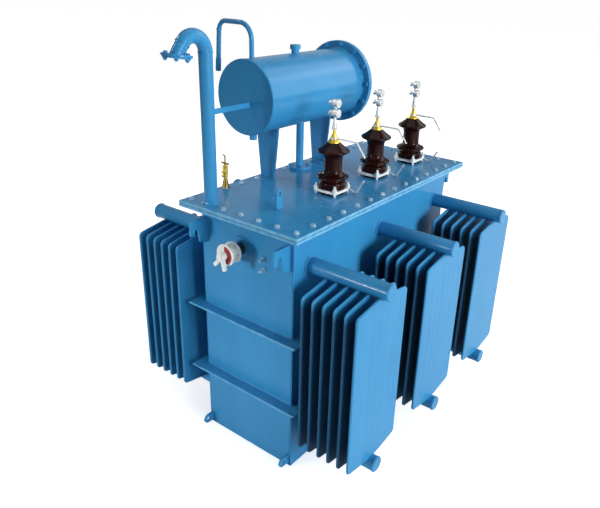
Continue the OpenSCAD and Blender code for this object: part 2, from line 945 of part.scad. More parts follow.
base_plate();
long_wall(-1);  // front_wall
long_wall(1);  // back_wall
left_end_wall();
right_end_wall();
rim_flange();
cover_gasket();
cover();
stiffener(stiff_low);  // lower_stiffener
stiffener(tank_h - stiff_drop);  // upper_stiffener
lifting_hooks();
base_lugs();
cover_lugs();
fins(0, false);  // front_fins_1
fins(1, false);  // front_fins_2
fins(2, false);  // front_fins_3
fins(0, true);  // back_fins_1
fins(1, true);  // back_fins_2
fins(2, true);  // back_fins_3
headers(false);  // front_headers
headers(true);  // back_headers
conservator_shell();
conservator_end_disc();
conservator_flange();
conservator_end_cover();
conservator_legs();
feed_flange();
feed_pipe();
filler_cap();
breather_pipe();
drain_boss();
brace_bar();
vent_pipe();
vent_flange();
oil_valve();
hv_clamps();
hv_porcelains();
hv_terminals();
hv_connectors();
hv_horns();
lv_porcelains();
lv_terminals();
tap_switch();
tap_dial();
tap_handle();
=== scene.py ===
"""Distribution transformer: finishes, bolts, welds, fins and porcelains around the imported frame."""
import math

import bpy
from mathutils import Euler, Matrix, Vector


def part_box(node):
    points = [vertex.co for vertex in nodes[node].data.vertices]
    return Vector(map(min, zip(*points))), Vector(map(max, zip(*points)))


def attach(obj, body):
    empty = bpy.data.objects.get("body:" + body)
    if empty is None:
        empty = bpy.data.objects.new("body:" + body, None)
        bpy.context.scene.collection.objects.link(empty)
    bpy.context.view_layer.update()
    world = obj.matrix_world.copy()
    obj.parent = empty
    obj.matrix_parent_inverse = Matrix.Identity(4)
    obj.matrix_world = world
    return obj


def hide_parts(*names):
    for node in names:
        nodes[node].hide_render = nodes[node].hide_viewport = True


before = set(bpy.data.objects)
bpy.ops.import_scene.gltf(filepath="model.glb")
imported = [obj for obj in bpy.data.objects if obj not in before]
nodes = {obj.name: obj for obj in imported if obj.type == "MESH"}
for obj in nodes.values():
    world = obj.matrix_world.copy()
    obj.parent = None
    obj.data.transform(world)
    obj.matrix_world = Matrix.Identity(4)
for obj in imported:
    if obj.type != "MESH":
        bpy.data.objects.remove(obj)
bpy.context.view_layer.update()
bpy.ops.object.select_all(action="DESELECT")

# Studio: a camera off the left front corner, a little above the cover, and a pale floor that takes
# the shadow. Wide lamps stand in front and overhead, and weaker ones at the left and behind. What
# gloss mirrors of the white background is dimmer overhead and at the right, as by a dark flag.
scene = bpy.context.scene
scene.view_settings.view_transform = "Standard"

picture_w = 600
picture_h = 508
focal_px = 622.9
centre_px = (317.9, 247.1)
view_yaw = math.radians(36.5)
view_pitch = math.radians(-23.8)
view_roll = math.radians(2.0)
view_reach = 400
sensor_w = 36
camera_place = (-2.1004, -1.4640, 1.8480)
bpy.ops.object.camera_add(location=camera_place)
camera = bpy.context.object
camera.name = "camera"
aim = Euler((math.pi / 2 + view_pitch, 0, view_yaw - math.pi / 2)).to_matrix()
camera.rotation_euler = (aim @ Matrix.Rotation(view_roll, 3, "Z")).to_euler()
camera.data.sensor_width = sensor_w
camera.data.lens = sensor_w * focal_px / picture_w
camera.data.shift_x = (picture_w / 2 - centre_px[0]) / picture_w
camera.data.shift_y = (centre_px[1] - picture_h / 2) / picture_w
camera.data.clip_end = view_reach
scene.camera = camera


class Shade:
    """An output socket of a node tree. Sums and products of these add Math nodes to the tree."""

    def __init__(self, tree, output=None):
        self.tree = tree
        self.output = output

    def node(self, kind, settings=None, links=None, output=0):
        """Add a node, set it up, feed its inputs and give back one of its outputs."""
        made = self.tree.nodes.new("ShaderNode" + kind)
        for key, value in (settings or {}).items():
            setattr(made, key, value)
        for key, value in (links or {}).items():
            if isinstance(value, Shade):
                self.tree.links.new(value.output, made.inputs[key])
            else:
                made.inputs[key].default_value = value
        return Shade(self.tree, made.outputs[output] if made.outputs else None)

    def math(self, operation, first, second):
        return self.node("Math", {"operation": operation}, {0: first, 1: second})

    def __add__(self, other):
        return self.math("ADD", self, other)

    def __sub__(self, other):
        return self.math("SUBTRACT", self, other)

    def __mul__(self, other):
        return self.math("MULTIPLY", self, other)

    def __rsub__(self, other):
        return self.math("SUBTRACT", other, self)

    __radd__ = __add__
    __rmul__ = __mul__

    def ramp(self, low, high):
        """Rise smoothly from 0 at low to 1 at high."""
        span = {"From Min": low, "From Max": high}
        return self.node("MapRange", {"interpolation_type": "SMOOTHSTEP"}, {"Value": self, **span})

    def blend(self, first, second):
        """Mix two colours by this value."""
        return self.node("Mix", {"data_type": "RGBA"}, {0: self, 6: first, 7: second}, output=2)

    def axis(self, letter):
        """One coordinate of a vector."""
        return self.node("SeparateXYZ", links={0: self}, output=letter)

    def unsigned(self):
        """A vector with the signs of its coordinates dropped."""
        return self.node("VectorMath", {"operation": "ABSOLUTE"}, {0: self})

    def noise(self, scale, detail):
        """Clouds over a place, from 0 to 1."""
        return self.node("TexNoise", links={"Vector": self, "Scale": scale, "Detail": detail})

    def bump(self, strength, distance):
        """A normal that is tilted by this height."""
        return self.node("Bump", links={"Strength": strength, "Distance": distance, "Height": self})

    def coated(self, sockets):
        """Close a material with one principled surface."""
        surface = self.node("BsdfPrincipled", links=sockets)
        self.node("OutputMaterial", links={"Surface": surface})


def seen_direct(tree, mirrored):
    """1 where the background is looked at straight, mirrored where it shows in gloss, 0 for light."""
    path = Shade(tree)
    camera_ray = path.node("LightPath", output="Is Camera Ray")
    glossy_ray = path.node("LightPath", output="Is Glossy Ray")
    through_ray = path.node("LightPath", output="Is Transmission Ray")
    in_gloss = path.math("MAXIMUM", glossy_ray, through_ray)
    return path.math("MAXIMUM", camera_ray, in_gloss * mirrored)


sky_light = 0.035
sky_mirrored = 0.62
ceiling_dim = 0.36
ceiling_rise = (0.38, 0.65)
flag_dim = 0.40
flag_rise = (0.78, 0.95)
world = bpy.data.worlds.new("studio")
scene.world = world
world.use_nodes = True
world.node_tree.nodes.clear()
sky = Shade(world.node_tree)
sky_way = sky.node("TexCoord", output="Generated")
overhead = ceiling_dim * sky_way.axis("Z").ramp(*ceiling_rise)
flagged = flag_dim * sky_way.axis("X").ramp(*flag_rise)
sky_in_gloss = sky_mirrored - overhead - flagged
sky_level = sky_light + (1 - sky_light) * seen_direct(world.node_tree, sky_in_gloss)
dome = sky.node("Background", links={"Color": (1, 1, 1, 1), "Strength": sky_level})
sky.node("OutputWorld", links={"Surface": dome})

floor_size = 300
floor_tone = (0.80, 0.81, 0.82, 1)
floor_lift = (0.62, 0.965)
floor_fade = (1.5, 7.0)
floor_mirrored = 0.16
bpy.ops.mesh.primitive_plane_add(size=floor_size)
floor = bpy.context.object
floor.name = "floor"
floor_paint = bpy.data.materials.new("pale_floor")
floor_paint.use_nodes = True
floor_paint.node_tree.nodes.clear()
ground = Shade(floor_paint.node_tree)
matt = ground.node("BsdfDiffuse", links={"Color": floor_tone})
floor_spot = ground.node("TexCoord", output="Object")
floor_out = ground.node("VectorMath", {"operation": "LENGTH"}, {0: floor_spot}, "Value")
floor_glow = floor_lift[0] + (floor_lift[1] - floor_lift[0]) * floor_out.ramp(*floor_fade)
floor_seen = seen_direct(floor_paint.node_tree, floor_mirrored)
lift = ground.node("Emission", links={"Strength": floor_glow * floor_seen})
both = ground.node("AddShader", links={0: matt, 1: lift})
ground.node("OutputMaterial", links={"Surface": both})
floor.data.materials.append(floor_paint)

lamp_target = (0, 0, 0.8)
for lamp_name, lamp_place, lamp_aim, lamp_size, lamp_spread, lamp_power in (
    ("right_lamp", (4.1, -3.0, 2.9), lamp_target, 4.0, 180, 90),
    ("front_lamp", (-0.8, -8.0, 2.7), lamp_target, 3.6, 180, 580),
    ("glint_lamp", (-1.8, -4.6, 4.4), lamp_target, 0.4, 180, 12),
    ("top_lamp", (0.2, 0.4, 5.0), lamp_target, 3.0, 180, 26),
    ("edge_lamp", (-1.9, 3.0, 4.7), lamp_target, 0.7, 180, 38),
    ("left_lamp", (-4.4, 2.6, 3.4), lamp_target, 2.4, 180, 14),
    ("wall_lamp", (-4.0, 1.3, 1.15), (-0.57, -0.05, 0.45), 0.4, 36, 3.4),
    ("sheen_lamp", (3.75, -1.0, 4.5), lamp_target, 2.6, 180, 34),
    ("back_lamp", (0.8, 6.2, 2.6), lamp_target, 2.4, 180, 140),
):
    bpy.ops.object.light_add(type="AREA", location=lamp_place)
    lamp = bpy.context.object
    lamp.name = lamp_name
    lamp.data.shape = "SQUARE"
    lamp.data.size = lamp_size
    lamp.data.spread = math.radians(lamp_spread)
    lamp.data.energy = lamp_power
    lamp.rotation_euler = (Vector(lamp_aim) - lamp.location).to_track_quat("-Z", "Y").to_euler()

# Tank: a welded box of steel plate with a rim flange and two stiffener bars all round, sprayed
# with a glossy blue enamel. Its plates are the frame's own, with their arrises broken.
def new_finish(name):
    """A material with an empty node tree."""
    material = bpy.data.materials.new(name)
    material.use_nodes = True
    material.node_tree.nodes.clear()
    return material, Shade(material.node_tree)


enamel_tones = ((0.033, 0.244, 0.502, 1), (0.041, 0.284, 0.568, 1))
enamel_gloss = 0.24
streak_scale = (16, 16, 1.3)
dust_tone = (0.24, 0.36, 0.44, 1)
# The pale blue of the painted highlight along the edges of the cover and the bars.
edge_highlight_tone = (0.20, 0.52, 0.76, 1)
edge_highlight_fade = 0.002
# The dark navy of the painted shade between the fins.
fin_shade_tone = (0.004, 0.035, 0.085, 1)


def enamel_finish(name, highlight_from=None, highlight_strength=0.0, shaded_inside=None, shade_depth=0.0):
    """Blue enamel, dusty on top. Past the edge bounds given, in x or y, a patchy paler band is painted
    highlight. Inside the shade bounds given, in y, and below their height, in z, the colour is
    darkened as painted shade, and the coat is rougher."""
    material, paint = new_finish(name)
    spot = paint.node("TexCoord", output="Object")
    drift = spot.noise(2.2, 3.0)
    streak = paint.node("Mapping", links={"Vector": spot, "Scale": streak_scale}).noise(1.0, 2.0)
    speck = spot.noise(38.0, 4.0)
    facing = paint.node("NewGeometry", output="Normal").axis("Z")
    dust = facing.ramp(0.7, 1.0) * speck.ramp(0.42, 0.75)
    coat = (0.70 * drift + 0.30 * streak).ramp(0.25, 0.75)
    colour = (0.10 * dust).blend(coat.blend(*enamel_tones), dust_tone)
    rough = 0.16 + 0.12 * drift + 0.06 * dust
    # Painted highlight: a patchy paler band along the outer edges.
    if highlight_from:
        across = spot.unsigned()
        edge_x = across.axis("X").ramp(highlight_from[0], highlight_from[0] + edge_highlight_fade)
        edge_y = across.axis("Y").ramp(highlight_from[1], highlight_from[1] + edge_highlight_fade)
        edge_highlight = highlight_strength * (0.4 + 0.6 * speck.ramp(0.30, 0.60))
        colour = (paint.math("MAXIMUM", edge_x, edge_y) * edge_highlight).blend(colour, edge_highlight_tone)
    # Painted shade: between the fins the colour is darkened towards dark navy, and the coat is rougher
    # there.
    if shaded_inside:
        inside = 1 - spot.unsigned().axis("Y").ramp(shaded_inside[0] - 0.004, shaded_inside[0] + 0.003)
        below = 1 - spot.axis("Z").ramp(shaded_inside[1] - 0.05, shaded_inside[1])
        painted_shade = shade_depth * inside * below
        colour = painted_shade.blend(colour, fin_shade_tone)
        rough = rough + 0.50 * painted_shade
    paint.coated({
        "Base Color": colour,
        "Roughness": rough,
        "Normal": spot.noise(260.0, 1.0).bump(0.05, 0.0003),
        "Specular IOR Level": enamel_gloss,
    })
    return material


# The cover and the stiffener bars carry a painted highlight along their outer edges, fainter on the
# bars.
highlight_band = 0.0045
cover_highlight = 0.75
bar_highlight = 0.45
cover_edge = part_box("cover")[1]
bar_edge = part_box("upper_stiffener")[1]
cover_highlight_from = (cover_edge.x - highlight_band, cover_edge.y - highlight_band)
bar_highlight_from = (bar_edge.x - highlight_band, bar_edge.y - highlight_band)
enamel = enamel_finish("blue_enamel")
cover_enamel = enamel_finish("cover_enamel", cover_highlight_from, cover_highlight)
bar_enamel = enamel_finish("stiffener_enamel", bar_highlight_from, bar_highlight)


def only(piece):
    """Select one piece and nothing else, in object mode."""
    if bpy.context.object and bpy.context.object.mode != "OBJECT":
        bpy.ops.object.mode_set(mode="OBJECT")
    bpy.ops.object.select_all(action="DESELECT")
    piece.select_set(True)
    bpy.context.view_layer.objects.active = piece


def set_on(piece, name, finish, body="transformer"):
    """Name a finished piece, give it its material and let it ride on a body."""
    piece.name = name
    piece.data.name = name
    piece.data.materials.clear()
    piece.data.materials.append(finish)
    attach(piece, body)


merge_gap = 0.00001
flat_angle = math.radians(0.4)
arris_angle = math.radians(32)


def frame_copy(node):
    """A copy of a frame piece with its loose triangles merged into plain faces."""
    piece = bpy.data.objects.new(node, nodes[node].data.copy())
    scene.collection.objects.link(piece)
    only(piece)
    bpy.ops.mesh.customdata_custom_splitnormals_clear()
    bpy.ops.object.mode_set(mode="EDIT")
    bpy.ops.mesh.select_all(action="SELECT")
    bpy.ops.mesh.remove_doubles(threshold=merge_gap)
    bpy.ops.mesh.dissolve_limited(angle_limit=flat_angle)
    bpy.ops.object.mode_set(mode="OBJECT")
    return piece


def broken_arris(node, name, width, finish, body="transformer"):
    """Stand a copy of a frame piece in for it, with the sharp edges broken to a small round."""
    piece = frame_copy(node)
    bevel = piece.modifiers.new("arris", "BEVEL")
    bevel.width = width
    bevel.segments = 3
    bevel.limit_method = "ANGLE"
    bevel.angle_limit = arris_angle
    bpy.ops.object.modifier_apply(modifier="arris")
    bpy.ops.object.shade_smooth_by_angle(angle=arris_angle)
    level = piece.modifiers.new("flat_faces", "WEIGHTED_NORMAL")
    level.keep_sharp = True
    bpy.ops.object.modifier_apply(modifier="flat_faces")
    set_on(piece, name, finish, body)
    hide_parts(node)


for plate_node, plate_arris, plate_finish in (
    ("base_plate", 0.0012, enamel),
    ("front_wall", 0.0028, enamel),
    ("back_wall", 0.0028, enamel),
    ("left_end_wall", 0.0012, enamel),
    ("right_end_wall", 0.0012, enamel),
    ("rim_flange", 0.0038, cover_enamel),
    ("cover", 0.0046, cover_enamel),
    ("lower_stiffener", 0.0030, bar_enamel),
    ("upper_stiffener", 0.0030, bar_enamel),
    ("lifting_hooks", 0.0016, enamel),
    ("base_lugs", 0.0016, enamel),
    ("cover_lugs", 0.0018, enamel),
):
    broken_arris(plate_node, plate_node + "_plate", plate_arris, plate_finish)

# Cover gasket: a thin strip of oiled cork between the rim and the cover. The bolts squeeze it out
# flush with both, and the edge is painted over with the tank.
gasket = frame_copy("cover_gasket")
gasket_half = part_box("cover_gasket")[1]
paint_in = 0.0006
bpy.ops.transform.resize(value=(
    (cover_edge.x - paint_in) / gasket_half.x, (cover_edge.y - paint_in) / gasket_half.y, 1),
    center_override=(0, 0, 0))
bpy.ops.object.transform_apply(location=True, rotation=True, scale=True)
set_on(gasket, "cover_gasket_edge", cover_enamel)
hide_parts("cover_gasket")

# Radiator fins: two pressed steel sheets, seam welded round the edge, with seven oil channels.
# They slope to the header at both ends and have rounded shoulders. Between them the enamel is darkened
# as painted shade and made rougher, more on the front side than the back.
fin_half_w = 0.160
channel_count = 7
fin_half_t = 0.0055
fin_pitch = 0.045
fin_first = 0.088
fin_count = 6
fin_shoulder = (0.188, 0.837)
fin_crown = (0.167, 0.858)
fin_corner = 0.020
crown_half_w = 0.030
channel_pitch = (2 * fin_half_w - 2 * fin_half_t) / channel_count
valleys = [(number - (channel_count - 2) / 2) * channel_pitch for number in range(channel_count - 1)]
valley_half_w = 0.0085
valley_depth = 0.0006
valley_end = 0.050
valley_run = 0.020
seam_gap = 0.00002
fin_smooth = math.radians(40)
tank_half_w = 0.230
radiator_x = (-0.475, 0.0, 0.475)
fin_slope = math.atan((fin_shoulder[0] - fin_crown[0]) / (fin_half_w - crown_half_w))
corner_in = fin_corner * (1 - math.sin(fin_slope)) / math.cos(fin_slope)
corner_x = fin_half_w - fin_corner
corner_z = (fin_shoulder[0] + corner_in, fin_shoulder[1] - corner_in)


def fin_columns():
    """Places across a fin: close together at its rolled edges and in the valleys."""
    edge = [0.0, 0.0003, 0.0010, 0.0020, 0.0033, 0.0050, 0.0075, 0.0105, 0.0140, 0.0168]
    places = [step - fin_half_w for step in edge] + [fin_half_w - step for step in edge]
    for middle in valleys:
        places += [middle + step * valley_half_w for step in (-1, -0.66, -0.33, 0, 0.33, 0.66, 1)]
        places.append(middle + channel_pitch / 2)
    places += [valleys[0] - channel_pitch / 2, -crown_half_w, crown_half_w]
    return sorted(set(round(place, 5) for place in places))


def fin_ends(x):
    """Height of a fin's lower and upper edge at a place across it."""
    share = max(0.0, min(1.0, (fin_half_w - abs(x)) / (fin_half_w - crown_half_w)))
    ends = [shoulder + share * (crown - shoulder) for shoulder, crown in zip(fin_shoulder, fin_crown)]
    past = abs(x) - corner_x
    if past > fin_corner * math.sin(fin_slope):
        rise = math.sqrt(max(0.0, fin_corner ** 2 - past ** 2))
        ends = [corner_z[0] - rise, corner_z[1] + rise]
    return ends


def fin_margin(x, z, reach):
    """Distance of a point on a fin from its outline."""
    past = abs(x) - corner_x
    above = max(corner_z[0] - z, z - corner_z[1])
    if past > 0 and above > 0:
        return max(0.0, fin_corner - math.hypot(past, above))
    return min(fin_half_w - abs(x), reach)


def valley_at(x, reach):
    """Depth of the pressed valleys at a place across a fin, reach away from its nearer end."""
    nearest = min(abs(x - middle) for middle in valleys)
    across = max(0.0, 1 - nearest / valley_half_w)
    along = max(0.0, min(1.0, (reach - valley_end) / valley_run))
    return valley_depth * across * across * (3 - 2 * across) * along


columns = fin_columns()
rises = [0.0, 0.0003, 0.0010, 0.0020, 0.0033, 0.0055, 0.012, 0.030]
rises += [valley_end, valley_end + valley_run / 2, valley_end + valley_run]
rows = len(rises) * 2
bpy.ops.mesh.primitive_grid_add(x_subdivisions=len(columns) - 1, y_subdivisions=rows - 1, size=2)
fin = bpy.context.object
for vertex in fin.data.vertices:
    column = round((vertex.co.x + 1) / 2 * (len(columns) - 1))
    row = round((vertex.co.y + 1) / 2 * (rows - 1))
    x = columns[column]
    low, high = fin_ends(x)
    reach = rises[min(row, rows - 1 - row)]
    z = low + reach if row < len(rises) else high - reach
    bulge = 1 - min(1.0, fin_margin(x, z, reach) / fin_half_t)
    thick = fin_half_t * math.sqrt(max(0.0, 1 - bulge * bulge))
    vertex.co = (x, -(thick - min(thick, valley_at(x, reach))), z)
mirror = fin.modifiers.new("back_sheet", "MIRROR")
mirror.use_axis = (False, True, False)
mirror.merge_threshold = seam_gap
only(fin)
bpy.ops.object.modifier_apply(modifier="back_sheet")
bpy.ops.object.mode_set(mode="EDIT")
bpy.ops.mesh.select_all(action="SELECT")
bpy.ops.mesh.remove_doubles(threshold=seam_gap)
bpy.ops.mesh.normals_make_consistent(inside=False)
bpy.ops.object.mode_set(mode="OBJECT")


def laid_out(pattern, places):
    """Copy a finished shape to each place, join the copies and remove the shape itself."""
    copies = []
    for place in places:
        shape = pattern.data.copy()
        shape.transform(place)
        piece = bpy.data.objects.new(pattern.name, shape)
        scene.collection.objects.link(piece)
        copies.append(piece)
    only(copies[0])
    for piece in copies:
        piece.select_set(True)
    bpy.ops.object.join()
    bpy.data.objects.remove(pattern)
    return copies[0]


def kept_copy(pattern):
    """A second copy of a shape, for use after the first has been laid out."""
    piece = bpy.data.objects.new(pattern.name, pattern.data.copy())
    scene.collection.objects.link(piece)
    return piece


fin_last = tank_half_w + fin_first + (fin_count - 1) * fin_pitch
fin_shade_bounds = (fin_last, fin_shoulder[1])
# The front fins get deeper painted shade between them than the back fins.
for side_name, side, fin_shade_depth in (("front", -1, 0.82), ("back", 1, 0.22)):
    fin_enamel = enamel_finish(
        side_name + "_fin_enamel", shaded_inside=fin_shade_bounds, shade_depth=fin_shade_depth)
    for number, x in enumerate(radiator_x, 1):
        fin_places = [
            Matrix.Translation((x, side * (tank_half_w + fin_first + step * fin_pitch), 0))
            for step in range(fin_count)
        ]
        panels = laid_out(kept_copy(fin), fin_places)
        bpy.ops.object.shade_smooth_by_angle(angle=fin_smooth)
        set_on(panels, f"{side_name}_fin_panels_{number}", fin_enamel)
        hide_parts(f"{side_name}_fins_{number}")
bpy.data.objects.remove(fin)

# Header pipes: steel tube with a welded end cap, let into the tank wall with a fillet weld.
# The welds are left as laid, with their ripples under the paint.
def ripple_ring(major, minor, seed):
    """A weld bead laid round a pipe along Z: a ring with slightly uneven ripples."""
    bpy.ops.mesh.primitive_torus_add(
        major_radius=major, minor_radius=minor, major_segments=56, minor_segments=8)
    ring = bpy.context.object
    bpy.ops.object.mode_set(mode="EDIT")
    bpy.ops.mesh.select_all(action="SELECT")
    bpy.ops.transform.vertex_random(offset=minor * 0.16, uniform=0.4, normal=0.4, seed=seed)
    bpy.ops.object.mode_set(mode="OBJECT")
    return ring


header_z = (0.145, 0.880)
header_arris = 0.0016
root_out = 0.001
cap_in = 0.0065
for header_node in ("front_headers", "back_headers"):
    broken_arris(header_node, header_node + "_pipes", header_arris, enamel)
along_y = Matrix.Rotation(math.pi / 2, 4, "X")
root_places = []
cap_places = []
for side, header_end in ((-1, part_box("front_headers")[0].y), (1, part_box("back_headers")[1].y)):
    for x in radiator_x:
        for z in header_z:
            root_places.append(Matrix.Translation((x, side * (tank_half_w + root_out), z)) @ along_y)
            cap_places.append(Matrix.Translation((x, header_end - side * cap_in, z)) @ along_y)
for weld_name, weld_places, weld_major, weld_minor, weld_seed in (
    ("header_root_welds", root_places, 0.0312, 0.0046, 3),
    ("header_cap_welds", cap_places, 0.0298, 0.0024, 5),
):
    welds = laid_out(ripple_ring(weld_major, weld_minor, weld_seed), weld_places)
    bpy.ops.object.shade_smooth()
    set_on(welds, weld_name, enamel)

# Plate welds: fillet beads laid by hand along the roots of the stiffeners, hooks, lugs and legs,
# painted over with the tank.
def pick(piece, kind, test):
    """Leave a piece in edit mode with only the faces or edges selected that pass a test."""
    only(piece)
    bpy.ops.object.mode_set(mode="EDIT")
    bpy.ops.mesh.select_mode(type=kind)
    bpy.ops.mesh.select_all(action="DESELECT")
    bpy.ops.object.mode_set(mode="OBJECT")
    for item in piece.data.polygons if kind == "FACE" else piece.data.edges:
        item.select = test(item)
    bpy.ops.object.mode_set(mode="EDIT")


def weld_line(start, end, radius, seed):
    """A straight bead from one point to another, with the ripples of its laying."""
    run = Vector(end) - Vector(start)
    bpy.ops.mesh.primitive_cylinder_add(vertices=8, radius=radius, depth=run.length)
    bead = bpy.context.object
    corners = bead.data.vertices
    pick(bead, "EDGE", lambda edge: abs(
        corners[edge.vertices[0]].co.z - corners[edge.vertices[1]].co.z) > run.length / 2)
    bpy.ops.mesh.subdivide(number_cuts=max(1, round(run.length / (3.2 * radius))))
    bpy.ops.mesh.select_all(action="SELECT")
    bpy.ops.transform.vertex_random(offset=radius * 0.22, uniform=0.5, normal=0.3, seed=seed)
    bpy.ops.object.mode_set(mode="OBJECT")
    turn = run.to_track_quat("Z", "Y").to_matrix().to_4x4()
    bead.data.transform(Matrix.Translation((Vector(start) + Vector(end)) / 2) @ turn)
    return bead


def joined(pieces):
    """Make one object of several."""
    only(pieces[0])
    for piece in pieces:
        piece.select_set(True)
    bpy.ops.object.join()
    return pieces[0]


tank_half_l = 0.570
cover_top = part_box("cover")[1].z
plate_bead = 0.0030
bead_short = 0.002
lug_places = (-0.445, 0.575)
lug_faces = (-0.0565, -0.0475)
lug_half_l = 0.015
drum_y = 0.223
leg_faces = (-0.199, -0.189, 0.155, 0.165)
leg_half_w = 0.034
weld_runs = []
for bar_node in ("lower_stiffener", "upper_stiffener"):
    for z in (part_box(bar_node)[0].z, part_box(bar_node)[1].z):
        for side in (-1, 1):
            x = side * tank_half_l
            y = side * tank_half_w
            weld_runs.append(((-tank_half_l, y, z), (tank_half_l, y, z)))
            weld_runs.append(((x, -tank_half_w, z), (x, tank_half_w, z)))
for plate_node, half_t, plate_y in (("lifting_hooks", 0.006, 0.206), ("base_lugs", 0.005, 0.214)):
    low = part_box(plate_node)[0].z
    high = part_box(plate_node)[1].z
    for x in (-tank_half_l, tank_half_l):
        for y in (-plate_y - half_t, -plate_y + half_t, plate_y - half_t, plate_y + half_t):
            weld_runs.append(((x, y, low + bead_short), (x, y, high - bead_short)))
for x in lug_places:
    for y in lug_faces:
        weld_runs.append(((x - lug_half_l, y, cover_top), (x + lug_half_l, y, cover_top)))
for x in leg_faces:
    weld_runs.append(((x, drum_y - leg_half_w, cover_top), (x, drum_y + leg_half_w, cover_top)))
plate_welds = joined([
    weld_line(start, end, plate_bead, number) for number, (start, end) in enumerate(weld_runs)])
bpy.ops.object.shade_smooth()
set_on(plate_welds, "plate_welds", enamel)

# Conservator: a rolled steel drum with a welded end disc, a bolted end cover, two legs, a feed
# pipe, a filler cap, a breather and a drain boss, all painted with the tank.
for drum_node, drum_arris in (
    ("conservator_end_disc", 0.0012), ("conservator_flange", 0.0016),
    ("conservator_end_cover", 0.0016), ("conservator_legs", 0.0014), ("feed_flange", 0.0016),
    ("filler_cap", 0.0018), ("drain_boss", 0.0016), ("brace_bar", 0.0012),
    ("breather_pipe", 0.0012), ("vent_flange", 0.0012), ("vent_pipe", 0.0010),
    ("feed_pipe", 0.0010), ("conservator_shell", 0.0010),
):
    broken_arris(drum_node, drum_node + "_painted", drum_arris, enamel)

drum_z = cover_top + 0.353
drum_r = 0.145
drum_flange_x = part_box("conservator_flange")[0].x
vent_place = (-0.5685, 0.176)
feed_place = (0.018, drum_y)
tap_axis = (0.018, 0.903)
along_x = Matrix.Rotation(math.pi / 2, 4, "Y")
seams = [
    (drum_r - 0.0006, 0.0024, (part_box("conservator_shell")[0].x, drum_y, drum_z), along_x),
    (drum_r + 0.0010, 0.0034, (drum_flange_x - 0.001, drum_y, drum_z), along_x),
    (0.0330, 0.0030, (*vent_place, cover_top + 0.001), Matrix()),
    (0.0260, 0.0030, (*vent_place, cover_top + 0.006), Matrix()),
    (0.0180, 0.0028, (*feed_place, cover_top + 0.013), Matrix()),
    (0.0462, 0.0026, (-tank_half_l, *tap_axis), along_x),
]
seam_welds = joined([
    laid_out(ripple_ring(major, minor, number), [Matrix.Translation(place) @ turn])
    for number, (major, minor, place, turn) in enumerate(seams, 11)
])
bpy.ops.object.shade_smooth()
set_on(seam_welds, "pipe_seam_welds", enamel)

# Painted bolts: hexagon bolts with washers and nuts that hold the conservator's end cover, the
# plate over the vent's mouth and the feed flange. They were painted with the pieces they hold.
def bar(sides, radius, bottom, top, chamfer):
    """A round or hexagonal bar along Z, with the edge of its upper end chamfered."""
    bpy.ops.mesh.primitive_cylinder_add(
        vertices=sides, radius=radius, depth=top - bottom, location=(0, 0, (top + bottom) / 2))
    piece = bpy.context.object
    bpy.ops.object.transform_apply(location=True, rotation=False, scale=False)
    pick(piece, "FACE", lambda face: face.normal.z > 0.9)
    bpy.ops.mesh.bevel(offset=chamfer, segments=1, affect="EDGES")
    bpy.ops.object.mode_set(mode="OBJECT")
    return piece


def bolt_head(size, depth):
    """A hexagon head on a washer, with its shank down to a depth below the washer's seat."""
    return [
        bar(6, size * 0.92, size * 0.20, size * 0.86, size * 0.10),
        bar(20, size * 1.02, 0.0, size * 0.18, size * 0.05),
        bar(12, size * 0.5, -depth, size * 0.3, size * 0.02),
    ]


def bolt_set(size, grip):
    """A hexagon bolt, head up: washer on z = 0, nut and thread below the grip."""
    nut = bar(6, size * 0.92, -grip - size * 0.82, -grip, size * 0.02)
    return joined(bolt_head(size, grip + size * 1.25) + [nut])


bolt_smooth = math.radians(28)
drum_bolts = 13
drum_bolt_size = 0.0100
drum_bolt_r = 0.164
drum_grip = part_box("conservator_end_cover")[1].x - drum_flange_x
first_bolt = math.radians(5)
end_bolts = laid_out(bolt_set(drum_bolt_size, drum_grip), [
    Matrix.Translation((drum_flange_x, drum_y, drum_z))
    @ Matrix.Rotation(first_bolt + step * math.tau / drum_bolts, 4, "X")
    @ Matrix.Translation((0, 0, drum_bolt_r)) @ Matrix.Rotation(-math.pi / 2, 4, "Y")
    for step in range(drum_bolts)
])

vent_up = 0.544
vent_bend = 0.057
vent_turn = math.radians(142)
vent_tail = 0.040
vent_tilt = math.radians(9)
vent_bolts = 6
vent_bolt_size = 0.0076
vent_bolt_r = 0.0415
vent_grip = 0.014
vent_first = math.radians(229)
vent_seat = (
    vent_place[0] - vent_bend + vent_bend * math.cos(vent_turn) - vent_tail * math.sin(vent_turn),
    vent_place[1],
    cover_top + vent_up + vent_bend * math.sin(vent_turn) + vent_tail * math.cos(vent_turn),
)
mouth_bolts = laid_out(bolt_set(vent_bolt_size, vent_grip), [
    Matrix.Translation(vent_seat) @ Matrix.Rotation(vent_tilt, 4, "Y")
    @ Matrix.Rotation(vent_first + step * math.tau / vent_bolts, 4, "Z")
    @ Matrix.Translation((vent_bolt_r, 0, 0))
    for step in range(vent_bolts)
])

feed_bolt_count = 4
feed_bolt_size = 0.0100
feed_bolt_r = 0.037
feed_plate_t = 0.012
feed_bolts = laid_out(joined(bolt_head(feed_bolt_size, feed_plate_t)), [
    Matrix.Translation((*feed_place, cover_top + feed_plate_t))
    @ Matrix.Rotation((step + 0.5) * math.tau / feed_bolt_count, 4, "Z")
    @ Matrix.Translation((feed_bolt_r, 0, 0))
    for step in range(feed_bolt_count)
])
painted_bolts = joined([end_bolts, mouth_bolts, feed_bolts])
bpy.ops.object.shade_smooth_by_angle(angle=bolt_smooth)
set_on(painted_bolts, "painted_flange_bolts", enamel)

